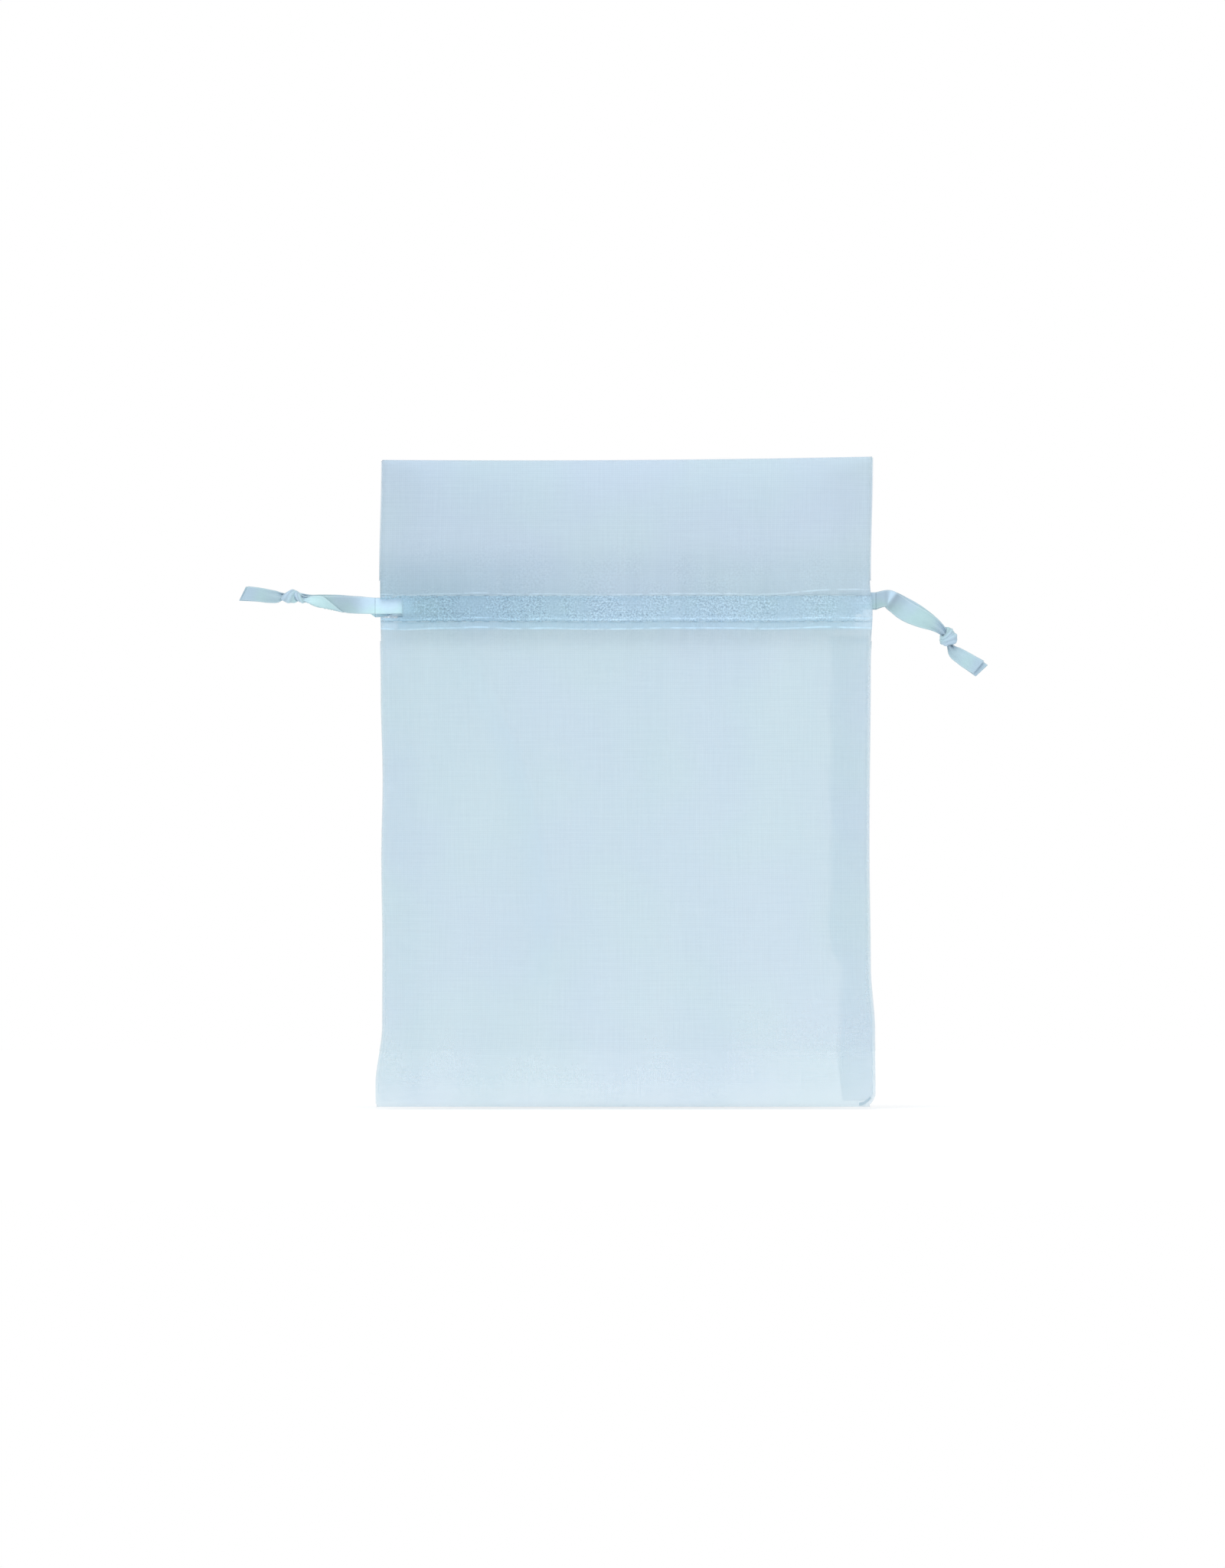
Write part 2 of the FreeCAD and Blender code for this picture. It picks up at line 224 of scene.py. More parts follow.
def smooth(start, end, value):
    """An easy step from 0 at the start to 1 at the end."""
    share = np.clip((value - start) / (end - start), 0, 1)
    return share * share * (3 - 2 * share)


def bump(centre, width, value):
    """A bell curve, 1 at its centre."""
    return np.exp(-(((value - centre) / width) ** 2))


def curve(stations, value):
    """An easy run through (place, size) stations that never overshoots them."""
    places, sizes = np.array(stations, float).T
    value = np.clip(value, places[0], places[-1])
    i = np.clip(np.searchsorted(places, value, side="right") - 1, 0, len(places) - 2)
    share = smooth(0, 1, (value - places[i]) / (places[i + 1] - places[i]))
    return sizes[i] * (1 - share) + sizes[i + 1] * share


def xyz(x, y, z):
    """Points from their three coordinates, each an array or one number for all."""
    return np.stack(np.broadcast_arrays(x, y, z), -1)


def directions(line):
    """Unit vectors along a line of points."""
    along = np.gradient(line, axis=0)
    return along / np.linalg.norm(along, axis=1)[:, None]


def rows(bottom, top, cell=CELL):
    return np.linspace(bottom, top, max(3, int(round((top - bottom) / cell)) + 1))


# -------- cloth shape

# (height, distance of the side edge from the middle)
EDGES = {
    LEFT: [(0, BASE_HALF - 0.15), (4, BASE_HALF - 0.1), (15, WAIST - 0.35), (30, WAIST - 0.4),
           (46, WAIST - 0.2), (60, WAIST - 0.45), (77, WAIST - 0.1), (97, WAIST + 0.2),
           (LIP, WAIST - 0.2)],
    RIGHT: [(0, BASE_HALF - 1.2), (2.2, BASE_HALF - 0.1), (14, BASE_HALF - 0.2), (26, WAIST),
            (48, WAIST - 0.25), (82, WAIST), (91, WAIST + 0.5), (97, WAIST), (LIP, WAIST + 0.4)],
}
# (height, how far the middle of a face stands out)
DEPTH = [(0, 0.5), (3, 1.15), (16, 2.9), (44, 3.7), (70, 3.2), (HEM - 1, 1.4), (UPPER_ROW + 1, 1.25),
         (106, 2.5), (LIP, 3.1)]
# half the room between front and back at the side seams: away from the casing, and at it
CLOSED_GAPE = 0.18
OPEN_GAPE = 1.5
# extra roundness of the tunnel, and of the ridge beside each row of stitches
TUNNEL_SWELL = 0.42
ROW_RIDGE = 0.22
# room behind the outer cloth: to the facing, more in the tunnel, and to the facing's turned end
FACING_GAP = 0.3
TUNNEL_ROOM = 1.05
TURNED_GAP = 0.22
# how far the turns of cloth stand out: at the base fold, side seams, lip and facing's hem
BASE_TURN = 0.55
SEAM_TURN = 0.15
LIP_TURN = 0.18
HEM_TURN = 0.16


def drawn(draw, count, *limits):
    """Rows of numbers, each number drawn between its own limits."""
    return [[draw.uniform(*pair) for pair in limits] for _ in range(count)]


class Wrinkles:
    """Soft creases of one side of the cloth."""

    def __init__(self, seed):
        draw = np.random.default_rng(seed)
        # (length, phase, share)
        self.puckers = drawn(draw, 5, (4.5, 10), (0, TURN), (0.5, 1))
        # (x, z, width, height, lean, size)
        self.swells = drawn(draw, 16, (-40, 40), (10, 80), (5, 11), (22, 45), (-0.25, 0.25), (-0.42, 0.42))
        self.ripples = drawn(draw, 4, (4, 9), (0, TURN), (0.4, 1))

    def depth(self, x, z):
        below = np.clip(LOWER_ROW - z, 0, None)
        above = np.clip(z - UPPER_ROW, 0, None)
        fade = (0.35 + 0.65 * np.exp(-below / 8)) * np.exp(-below / 26) * np.exp(-above / 11)
        total = np.zeros_like(x)
        for length, phase, share in self.puckers:
            total += 0.17 * share * fade * np.sin(TURN * x / length + phase + 0.02 * (z - LOWER_ROW))
        for cx, cz, wide, tall, lean, size in self.swells:
            total += size * bump(0, wide, x - cx - lean * (z - cz)) * bump(cz, tall, z)
        edge = smooth(WAIST - 12, WAIST - 1, np.abs(x)) * smooth(2, 14, z)
        for length, phase, share in self.ripples:
            total += 0.07 * share * edge * np.sin(TURN * z / length + phase)
        return total * smooth(0, 26, z)


WRINKLES = {FRONT: Wrinkles(11), BACK: Wrinkles(29)}


def near_casing(z):
    """1 in the casing, easing to 0 below and above it."""
    return smooth(HEM - 4, LOWER_ROW + 0.5, z) * (1 - smooth(UPPER_ROW - 0.5, UPPER_ROW + 5, z))


def tunnel(z):
    """Roundness of the casing between its two rows of stitches."""
    return np.sin(np.pi * np.clip((z - LOWER_ROW) / (UPPER_ROW - LOWER_ROW), 0, 1)) ** 0.7


def crowned(share):
    """Cross-section of the empty pouch: 1 in the middle and 0 at the side seams."""
    return np.clip(1 - np.abs(share) ** 2.4, 0, 1) ** 0.85


def outer_depth(face, x, z, wide):
    """How far the outer cloth stands from the middle plane."""
    crown = crowned(x / wide)
    base = CLOSED_GAPE + (OPEN_GAPE - CLOSED_GAPE) * near_casing(z) + curve(DEPTH, z) * crown
    base = base + WRINKLES[face].depth(x, z) * (0.25 + 0.75 * np.clip(crown * 2.5, 0, 1))
    ridge = bump(LOWER_ROW + 0.35, 0.4, z) + bump(UPPER_ROW + 0.15, 0.4, z)
    return np.maximum(base + TUNNEL_SWELL * tunnel(z) + ROW_RIDGE * ridge, PLY)


def facing_depth(face, x, z, wide):
    """The facing lies close inside the outer cloth, except where the ribbons pass between them."""
    return np.maximum(outer_depth(face, x, z, wide) - FACING_GAP - TUNNEL_ROOM * tunnel(z), 0.05)


def turned_depth(face, x, z, wide):
    """The facing's end is turned under, to the inside."""
    return np.maximum(facing_depth(face, x, z, wide) - TURNED_GAP, 0.03)


def place(side, face, z, u, depth, lift=False):
    """Points and weave of a sheet; u runs from 0 in the middle to 1 at the seam."""
    u_grid, z_grid = np.meshgrid(u, z)
    if lift:
        # the lip rises a little to the right and sags in the middle
        sag = -0.35 + 0.3 * side * u_grid + 0.35 * u_grid * u_grid
        z_grid = z_grid + smooth(UPPER_ROW, LIP, z_grid) * sag
    wide = curve(EDGES[side], z_grid)
    x = side * wide * u_grid
    y = face * depth(face, x, z_grid, wide)
    return xyz(x, y, z_grid), xyz(side * u_grid * WAIST, z_grid, 3.0 * face)


def across(limit=1.0):
    """Columns of cells from the middle to a share of the way to the side seam."""
    return np.linspace(0, limit, int(round(WAIST * limit / CELL)) + 1)


# -------- finishing each half


def gather(obj, side, zone, *nodes):
    """Open the middle of a half of the cloth, fix its place, and hide the frame's parts it stands in for.
    """
    open_middle(obj)
    # how the share that follows changes with height, and a place where nothing follows
    rise, start = {"body": (1 / LOWER_ROW, (side * WAIST, 0, 0)), "casing": (0, (0, 0, LOWER_ROW)),
                   "header": (-1 / HEADER_FLARE, (0, 0, UPPER_ROW))}[zone]
    start = np.array(start)
    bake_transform(obj)
    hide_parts(*nodes)
    return obj


# -------- cloth pieces


def sewn_piece(builder, name, side, zone, *nodes, ply=PLY):
    return gather(thicken(builder.build(name), ply), side, zone, *nodes)


def body_half(name, side):
    """Front and back below the casing, with the base fold and the side seam that join them."""
    builder = Builder()
    z = np.concatenate([rows(0.6, HEM), rows(HEM, LOWER_ROW, FINE_CELL)[1:]])
    front = builder.grid(*place(side, FRONT, z, across(), outer_depth))
    back = builder.grid(*place(side, BACK, z, across(), outer_depth))
    builder.bridge(front[0], back[0], (0, 0, -BASE_TURN))
    sewn = z < SEAM_TOP
    builder.bridge(front[sewn, -1], back[sewn, -1], (side * SEAM_TURN, 0, 0), 1)
    return sewn_piece(builder, name, side, "body", "front_panel", "back_panel", "base_fold")


def casing_half(name, side):
    """The tunnel's outer cloth and its facing; the left front stops short and leaves a ribbon bare."""
    builder = Builder()
    z = rows(LOWER_ROW, UPPER_ROW, FINE_CELL)
    for face in (FRONT, BACK):
        keep = covered_cells(z) if (side, face) == (LEFT, FRONT) else None
        builder.grid(*place(side, face, z, across(), outer_depth), keep)
        builder.grid(*place(side, face, z, across(FACING_REACH), facing_depth))
    nodes = ("front_casing", "back_casing", "front_facing", "back_facing")
    return sewn_piece(builder, name, side, "casing", *nodes)


def covered_cells(z):
    """Cells of the left front casing that are cloth; the rest is the opening the ribbon shows in."""
    u = across()
    x_cell = (u[:-1] + u[1:]) / 2 * WAIST
    z_cell = (z[:-1] + z[1:]) / 2
    beyond = x_cell[None, :] > OPENING_EDGE
    inside = (z_cell[:, None] > LOWER_ROW + 0.7) & (z_cell[:, None] < UPPER_ROW - 0.6)
    return ~(beyond & inside)


def header_half(name, side):
    """The ruffle above the casing: two plies on each face, turned over at the lip."""
    builder = Builder()
    z = np.concatenate([rows(UPPER_ROW, UPPER_ROW + 3, FINE_CELL), rows(UPPER_ROW + 3, LIP)[1:]])
    edges = []
    for face in (FRONT, BACK):
        outer = builder.grid(*place(side, face, z, across(), outer_depth, True))
        inner = builder.grid(*place(side, face, z, across(), facing_depth, True))
        builder.bridge(outer[-1], inner[-1], (0, 0, LIP_TURN), 2)
        edges.append(outer[:, -1])
    sewn = z > UPPER_ROW + 2.5
    builder.bridge(edges[0][sewn], edges[1][sewn], (side * SEAM_TURN, 0, 0), 1)
    nodes = ("front_header", "back_header", "front_facing", "back_facing")
    return sewn_piece(builder, name, side, "header", *nodes)


def hem_half(name, side):
    """The facings' ends, turned under and hanging just below the casing's lower row of stitches."""
    builder = Builder()
    outer_z = rows(HEM, LOWER_ROW, FINE_CELL)
    under_z = rows(HEM, LOWER_ROW - 0.1, FINE_CELL)
    u = across(FACING_REACH)
    for face in (FRONT, BACK):
        points, weave = place(side, face, outer_z, u, facing_depth)
        x = points[0, :, X]
        points[0, :, Z] += 0.1 * np.sin(x * 0.3 + face) + 0.05 * np.sin(x * 1.3)
        outer = builder.grid(points, weave)
        under, under_weave = place(side, face, under_z, u, turned_depth)
        inner = builder.grid(under, under_weave + 5)
        builder.bridge(outer[0], inner[0], (0, 0, -HEM_TURN), 2)
    return sewn_piece(builder, name, side, "body", "front_facing", "back_facing")


# height of the jog below which the right allowance was trimmed narrower, and by how much
TRIM_HEIGHT = (29, 25.5)
TRIMMED = 1.7


def allowance(name, side, bottom, top, zone, node, seed):
    """Two plies of seam allowance inside the pouch along one side, their cut edges uneven."""
    waves = drawn(np.random.default_rng(seed), 4, (9, 40), (0, TURN), (0.1, 0.35))
    z = rows(bottom, top)
    builder = Builder()
    for ply, face in enumerate((FRONT, BACK)):
        wander = sum(size * np.sin(TURN * z / length + phase + ply) for length, phase, size in waves)
        inner = ALLOWANCE_INNER - 0.6 + 0.5 * ply + 0.6 * wander
        if side == RIGHT:
            inner = inner + TRIMMED * smooth(*TRIM_HEIGHT, z)
        outer = curve(EDGES[side], z) - 0.4
        share = np.linspace(0, 1, 9)
        x = side * (inner[:, None] * (1 - share) + outer[:, None] * share)
        z_grid = np.repeat(z[:, None], len(share), 1)
        room = outer_depth(face, x, z_grid, curve(EDGES[side], z_grid))
        y = face * np.clip(room * 0.35, 0.05, 0.6)
        builder.grid(xyz(x, y, z_grid), xyz(x + 3 * face, z_grid, 9.0 + face))
    return sewn_piece(builder, name, side, zone, node, ply=ALLOWANCE_PLY)


def corner_fold(name):
    """The right allowance's lowest corner, curled over inside the base."""
    builder = Builder()
    share = np.linspace(0, 1, 17)
    x = BASE_HALF - 3.0 + 2.1 * share
    z = 0.55 + 1.25 * share**2.2
    along = directions(np.stack([x, z], -1))
    half = (0.3 - 0.12 * share)[:, None]
    v = np.linspace(-1, 1, 7)[None, :]
    x_grid = x[:, None] - along[:, 1:] * half * v
    z_grid = z[:, None] + along[:, :1] * half * v
    room = outer_depth(FRONT, x_grid, z_grid, curve(EDGES[RIGHT], z_grid))
    y = -np.clip(room * 0.5, 0.05, 0.4) * (1 - 0.5 * v * v)
    builder.grid(xyz(x_grid, y, z_grid), xyz(x_grid + 40, z_grid, 17.0))
    return sewn_piece(builder, name, RIGHT, "body", "right_seam_allowance", ply=ALLOWANCE_PLY)


# -------- stitches

STITCH = 2.3
STITCH_GAP = 0.3
STITCH_POINTS = 6
THREAD_RADIUS = 0.05
THREAD_SIDES = 6
WELD_WITHIN = 0.002


def add_stitch(builder, route, out):
    """One stitch: thread that comes up through the cloth, lies along the route and goes down again."""
    steps = len(route)
    rise = np.sin(np.pi * np.linspace(0, 1, steps)) ** 0.5
    middle_line = route + out * (0.08 * rise - 0.06)[:, None]
    along = directions(middle_line)
    side = np.cross(along, out)
    lift = np.cross(side, along)
    radius = THREAD_RADIUS * (0.55 + 0.45 * rise)
    angle = np.linspace(0, TURN, THREAD_SIDES + 1)
    ring = side[:, None] * np.cos(angle)[None, :, None] + lift[:, None] * np.sin(angle)[None, :, None]
    points = middle_line[:, None] + ring * radius[:, None, None]
    points[:, -1] = points[:, 0]
    builder.grid(points, points.copy())


def stitched(name, runs, side, zone, *nodes):
    """A piece made of rows of stitches; each run gives points along the row and the way out."""
    builder = Builder()
    for route, out in runs:
        length = np.concatenate([[0], np.cumsum(np.linalg.norm(np.diff(route, axis=0), axis=1))])
        start = STITCH_GAP
        while start + STITCH < length[-1]:
            places = np.linspace(start, start + STITCH, STITCH_POINTS)
            part = np.stack([np.interp(places, length, route[:, axis]) for axis in range(3)], -1)
            add_stitch(builder, part, np.array(out, float))
            start += STITCH + STITCH_GAP
    return gather(weld(builder.build(name)), side, zone, *nodes)


def weld(obj):
    """Join the points where a tube's sides meet, and close its ends."""
    with reshaping(obj.data) as shape:
        bmesh.ops.remove_doubles(shape, verts=shape.verts, dist=WELD_WITHIN * MM)
        ends = [edge for edge in shape.edges if edge.is_boundary]
        bmesh.ops.holes_fill(shape, edges=ends, sides=THREAD_SIDES + 1)
        bmesh.ops.recalc_face_normals(shape, faces=shape.faces)
    return obj


def row_route(side, face, z):
    """Where a row of stitches of the casing runs, and the way out of the cloth."""
    x = side * np.linspace(0.3, WAIST - 0.6, 90)
    y = face * (outer_depth(face, x, z, curve(EDGES[side], z)) + PLY / 2)
    return xyz(x, y, z), (0, face, 0)


def seam_route(side, face, bottom, top):
    """Where the stitches of a side seam run, and the way out of the cloth."""
    z = np.linspace(bottom, top, 120)
    wide = curve(EDGES[side], z)
    x = side * (wide - (WAIST - SEAM_LINE))
    y = face * (outer_depth(face, x, z, wide) - 1.2 * PLY)
    return xyz(x, y, z), (0, face, 0)


# -------- ribbon

RIBBON_ACROSS = 17
RIBBON_CELL = 0.22
RIBBON_Z = {LEFT: CASING_MIDDLE + 0.5, RIGHT: CASING_MIDDLE + 0.1}
# the loops settle from here to their way out, where the strands start
SETTLE_FROM = WAIST - 4
STRAND_START = WAIST + 1.1
EXIT_DEPTH = 0.75
# a loop's climb to its way out, and the back strand's height beside the front one's
EXIT_LIFT = {LEFT: 0.0, RIGHT: 1.4}
EXIT_BACK = {LEFT: -0.6, RIGHT: -0.2}
# how far short of the other side seam a loop turns back
LOOP_SHORT = 2.6
# how far a turned-over part stands in front of its ribbon
TURNED_OVER = 0.32


def run_through(keys, count):
    """Smooth centre line and values through rows of keys, evenly spaced."""
    keys = np.array(keys, float)
    step = np.linalg.norm(np.diff(keys[:, :2], axis=0), axis=1)
    length = np.concatenate([[0], np.cumsum(step)])
    slope = np.gradient(keys, length, axis=0)
    s = np.linspace(0, length[-1], count)
    i = np.clip(np.searchsorted(length, s, side="right") - 1, 0, len(keys) - 2)
    gap = (length[i + 1] - length[i])[:, None]
    t = ((s - length[i])[:, None]) / gap
    a, b, c, d = 2 * t**3 - 3 * t**2 + 1, t**3 - 2 * t**2 + t, 3 * t**2 - 2 * t**3, t**3 - t**2
    return s, a * keys[i] + b * gap * slope[i] + c * keys[i + 1] + d * gap * slope[i + 1]


def ribbon_section(c, half, flap):
    """Height across a ribbon whose lower edge has turned over, and which part of it lies turned."""
    turned = (flap / (flap + 2 * half))[:, None]
    low_edge = -half[:, None]
    folded = low_edge + flap[:, None] * (1 - c / np.maximum(turned, 1e-6))
    flat = low_edge + 2 * half[:, None] * (c - turned) / (1 - turned)
    over = smooth(0.04, -0.04, c - turned) * smooth(0, 0.3, flap)[:, None]
    return np.where(c < turned, folded, flat), over


def ribbon_strip(builder, keys, slant=(0, 0), shift=0.0, upright_start=False):
    """A ribbon through keys of (x, z, y, half height, flap, crimp, painted shading).

    The flap is how much of the lower edge has turned over to the front, and the crimp is how deeply
    the ribbon is folded lengthwise; slant leans its two ends. The painted shading scales the colour:
    above 1 it is a painted highlight, below 1 painted shade.
    """
    length = np.linalg.norm(np.diff(np.array(keys, float)[:, :2], axis=0), axis=1).sum()
    s, run = run_through(keys, max(6, int(length / RIBBON_CELL)))
    centre, depth, half, flap, crimp, painted_shading = run[:, :2], *run[:, 2:].T
    half = np.maximum(half, 0.25)
    flap = np.clip(flap, 0, 2 * half)
    along = directions(centre)
    up = np.stack([-along[:, 1], along[:, 0]], -1)
    up *= np.where(up[:, 1:] < 0, -1, 1)
    if upright_start:
        upright = smooth(2.2, 0, s)[:, None]
        up = up * (1 - upright) + np.array([0, 1]) * upright
    c = np.linspace(0, 1, RIBBON_ACROSS)[None, :]
    height, over = ribbon_section(c, half, flap)
    y = depth[:, None] - TURNED_OVER * over
    y = y + crimp[:, None] * np.sin(3 * np.pi * c + 0.6) * 0.5 + 0.1 * half[:, None] * (2 * c - 1) ** 2
    ends = (slant[0] * smooth(1.2, 0, s) + slant[1] * smooth(s[-1] - 1.2, s[-1], s))[:, None] * (c - 0.5)
    x = centre[:, :1] + up[:, :1] * height + along[:, :1] * ends
    z = centre[:, 1:] + up[:, 1:] * height + along[:, 1:] * ends
    # painted highlight and shade from the keys, and the turned-over back face a little lighter
    shade = painted_shading[:, None] + 0.22 * over
    builder.grid(xyz(x, y, z), xyz(s[:, None] + shift, c * 3 - 1.5, shade))


def loop_path(side, depth):
    """Centre line of a loop: in along the front, round, and out again along the back."""
    x_near, x_far = side * STRAND_START, -side * (WAIST - LOOP_SHORT)
    run = np.linspace(x_near, x_far, 260)
    near_exit = np.sign(run) == side
    bow = crowned(run / WAIST) * 0.35
    settle = smooth(SETTLE_FROM, STRAND_START, np.abs(run)) * near_exit
    front_y = -(depth + bow) * (1 - settle) - EXIT_DEPTH * settle
    drift = EXIT_LIFT[side] * smooth(WAIST - 16, STRAND_START, np.abs(run)) * near_exit
    drift_back = drift + EXIT_BACK[side] * settle
    angle = np.linspace(-np.pi / 2, np.pi / 2, 14)[1:-1]
    x = np.concatenate([run, x_far - side * depth * np.cos(angle), run[::-1]])
    y = np.concatenate([front_y, depth * np.sin(angle), -front_y[::-1]])
    z = RIBBON_Z[side] + np.concatenate([drift, np.zeros_like(angle), drift_back[::-1]])
    return x, y, z


def tunnel_ribbon(side_name, depth):
    """The loop that lies in the casing and comes out by the side seam."""
    side = SIDES[side_name]
    x, y, z = loop_path(side, depth)
    s = np.concatenate([[0], np.cumsum(np.hypot(np.diff(x), np.diff(y)))])
    c = np.linspace(-1, 1, RIBBON_ACROSS)
    near_exit = np.sign(x) == side
    at_exit = smooth(SETTLE_FROM, STRAND_START - 0.2, np.abs(x)) * near_exit
    wave = 0.08 * (np.sin(s / 3.1) * (1 - at_exit))[:, None] * c
    bowed = 0.15 * at_exit[:, None] * c**2
    away = np.stack([np.gradient(y, s), -np.gradient(x, s)], -1)
    points = xyz(x[:, None] + away[:, :1] * wave, y[:, None] + away[:, 1:] * wave + bowed,
                 z[:, None] + RIBBON_HALF * c)
    # painted highlight: the left loop is made lighter where it lies bare
    painted_shading = 0.95 + 0.38 * smooth(WAIST - 7, WAIST - 5, np.abs(x)) * near_exit * (side == LEFT)
    builder = Builder()
    builder.grid(points, xyz(s[:, None], c * 1.5, painted_shading[:, None]))
    obj = thicken(builder.build(side_name + "_drawstring_ribbon"), RIBBON_PLY)
    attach(obj, side_name + "_drawstring")
    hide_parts(side_name + "_ribbon_loop")
    return obj


# -------- ribbon outside the casing


def along_line(start, end, keys):
    """Turn keys of (share of the way, height off the line, then the rest) into places."""
    made = []
    for share, lift, *rest in keys:
        x = start[0] + share * (end[0] - start[0])
        z = start[1] + share * (end[1] - start[1]) + lift
        made.append((x, z, *rest))
    return made


def knot_centre(side_name):
    return middle(side_name + "_knot", X), middle(side_name + "_knot", Z)


def strand(side_name, face_name, keys):
    """One of the two lengths of ribbon between the casing and the knot."""
    side = SIDES[side_name]
    exit_z = RIBBON_Z[side] + EXIT_LIFT[side]
    if face_name == "back":
        exit_z = exit_z + EXIT_BACK[side]
    builder = Builder()
    start = (side * STRAND_START, exit_z)
    ribbon_strip(builder, along_line(start, knot_centre(side_name), keys), upright_start=True)
    obj = thicken(builder.build(side_name + "_strand_" + face_name), RIBBON_PLY)
    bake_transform(obj)
    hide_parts(side_name + "_" + face_name + "_strand")
    return obj


# (share of the way to the knot, height off the line, y, half height, flap, crimp, painted shading: above 1
# a painted highlight, below 1 painted shade)
LEFT_FRONT_KEYS = [
    (0, 0, -EXIT_DEPTH, 1.5, 0, 0, 1.28),
    (0.12, -0.12, -0.55, 1.54, 0, 0, 1.18),
    (0.25, -0.25, -0.38, 1.58, 0, 0, 0.92),
    (0.377, -0.36, -0.3, 1.52, 0.1, 0, 0.82),
    (0.524, -0.32, -0.3, 1.35, 1.2, 0.05, 0.84),
    (0.665, -0.34, -0.3, 1.14, 2.2, 0.15, 0.92),
    (0.79, -0.24, -0.25, 0.8, 1.5, 0.4, 0.98),
    (0.86, -0.14, -0.2, 0.55, 0.6, 0.5, 1.0),
    (1, 0, -0.1, 0.5, 0.3, 0.5, 1.0),
]
LEFT_BACK_KEYS = [
    (0, 0, EXIT_DEPTH, 1.5, 0, 0, 1.45),
    (0.05, 0.45, 0.6, 1.45, 0, 0, 1.4),
    (0.14, 0.6, 0.42, 1.35, 0, 0, 1.0),
    (0.3, 0.45, 0.25, 1.3, 0, 0, 0.95),
    (0.45, 0.4, 0.2, 1.2, 0, 0, 0.95),
    (0.665, 0.35, 0.18, 0.8, 0, 0.2, 0.95),
    (0.79, 0.3, 0.15, 0.5, 0, 0.4, 0.95),
    (1, 0.5, 0.1, 0.4, 0, 0.5, 0.95),
]
RIGHT_FRONT_KEYS = [
    (0, 0, -EXIT_DEPTH, 1.5, 0, 0, 0.86),
    (0.1, 1.0, -0.6, 1.48, 0, 0, 0.88),
    (0.165, 1.5, -0.48, 1.56, 0, 0, 0.92),
    (0.19, 1.6, -0.42, 1.62, 0, 0, 1.25),
    (0.22, 1.5, -0.36, 1.75, 0, 0, 0.82),
    (0.3, 1.28, -0.28, 1.85, 0, 0, 0.85),
    (0.383, 1.0, -0.22, 1.9, 0, 0.03, 0.98),
    (0.627, 1.0, -0.2, 1.72, 0, 0.1, 1.0),
    (0.8, 1.1, -0.18, 1.3, 0, 0.3, 0.93),
    (0.9, 0.85, -0.15, 0.9, 0, 0.6, 0.9),
    (1, 0.2, -0.1, 0.6, 0, 0.6, 0.93),
]
RIGHT_BACK_KEYS = [
    (0, 0, EXIT_DEPTH, 1.5, 0, 0, 0.86),
    (0.1, 1.1, 0.4, 1.45, 0, 0, 0.86),
    (0.2, 1.75, 0.12, 1.5, 0, 0, 0.9),
    (0.383, 1.75, 0.03, 1.65, 0, 0.03, 0.97),
    (0.627, 1.6, 0.02, 1.5, 0, 0.08, 1.0),
    (0.8, 1.3, 0.04, 1.15, 0, 0.3, 0.97),
    (0.9, 0.95, 0.06, 0.8, 0, 0.5, 0.93),
    (1, 0.2, 0.1, 0.5, 0, 0.5, 0.93),
]

# turns of ribbon in each knot: place along it, half length, radius, lean, phase and crease
LEFT_WRAPS = [(0.45, 1.55, 1.22, 0.6, 0.5, 0.07), (-1.05, 1.2, 0.92, -0.7, 2.0, 0.07)]
RIGHT_WRAPS = [(0.2, 1.3, 1.62, 0.4, 0.2, 0.1), (-0.25, 1.25, 1.52, -0.55, 2.2, 0.1)]


def frame_of(axis):
    """Unit vectors along a knot's line in the x-z plane, square to it in the plane, and forward."""
    along = np.array([axis[0], 0, axis[1]], float)
    along /= np.linalg.norm(along)
    up = np.array([-along[2], 0, along[0]])
    return along, up, np.array([0, -1.0, 0])


def wrap(builder, centre, axis, length, radius, lean, phase, crease):
    """One turn of squeezed ribbon round the strands; lean tilts it along the knot's line."""
    along, up, forward = frame_of(axis)
    turn = np.linspace(0, TURN, 49)[:, None]
    v = np.linspace(-1, 1, 15)[None, :]
    size = radius * (1 - 0.5 * np.abs(v) ** 2.6)
    size = size + crease * np.sin(2.5 * np.pi * v + 2 * turn + phase) * (1 - v * v)
    far = length * v * (0.8 + 0.2 * np.cos(turn + phase)) + lean * np.sin(turn + phase)
    places = np.array([centre[0], 0, centre[1]])
    points = (places + along * far[..., None] + up * (size * np.cos(turn))[..., None]
              + forward * (size * 0.92 * np.sin(turn))[..., None])
    points[-1] = points[0]
    # painted highlight on the crease's ridges and painted shade in its hollows
    painted_shading = 1.0 + 0.1 * np.sin(2.5 * np.pi * v + 2 * turn + phase)
    builder.grid(points, xyz(turn * radius, v * 1.4, painted_shading))


def knot(side_name, axis, wraps):
    """Turns of ribbon round the squeezed strands."""
    builder = Builder()
    centre = knot_centre(side_name)
    along, _, _ = frame_of(axis)
    for shift, length, radius, lean, phase, crease in wraps:
        spot = (centre[0] + along[0] * shift, centre[1] + along[2] * shift)
        wrap(builder, spot, axis, length, radius, lean, phase, crease)
    obj = thicken(weld(builder.build(side_name + "_tie_knot")), RIBBON_PLY)
    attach(obj, side_name + "_tie")
    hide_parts(side_name + "_knot")
    return obj


def tail(side_name, face_name, keys, slant):
    """One free end of the ribbon, cut at a slant."""
    builder = Builder()
    ribbon_strip(builder, keys, slant=(0, slant), shift=40)
    obj = thicken(builder.build(side_name + "_tail_" + face_name), RIBBON_PLY)
    body = side_name + "_" + face_name + "_tail"
    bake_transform(obj)
    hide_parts(body)
    return obj


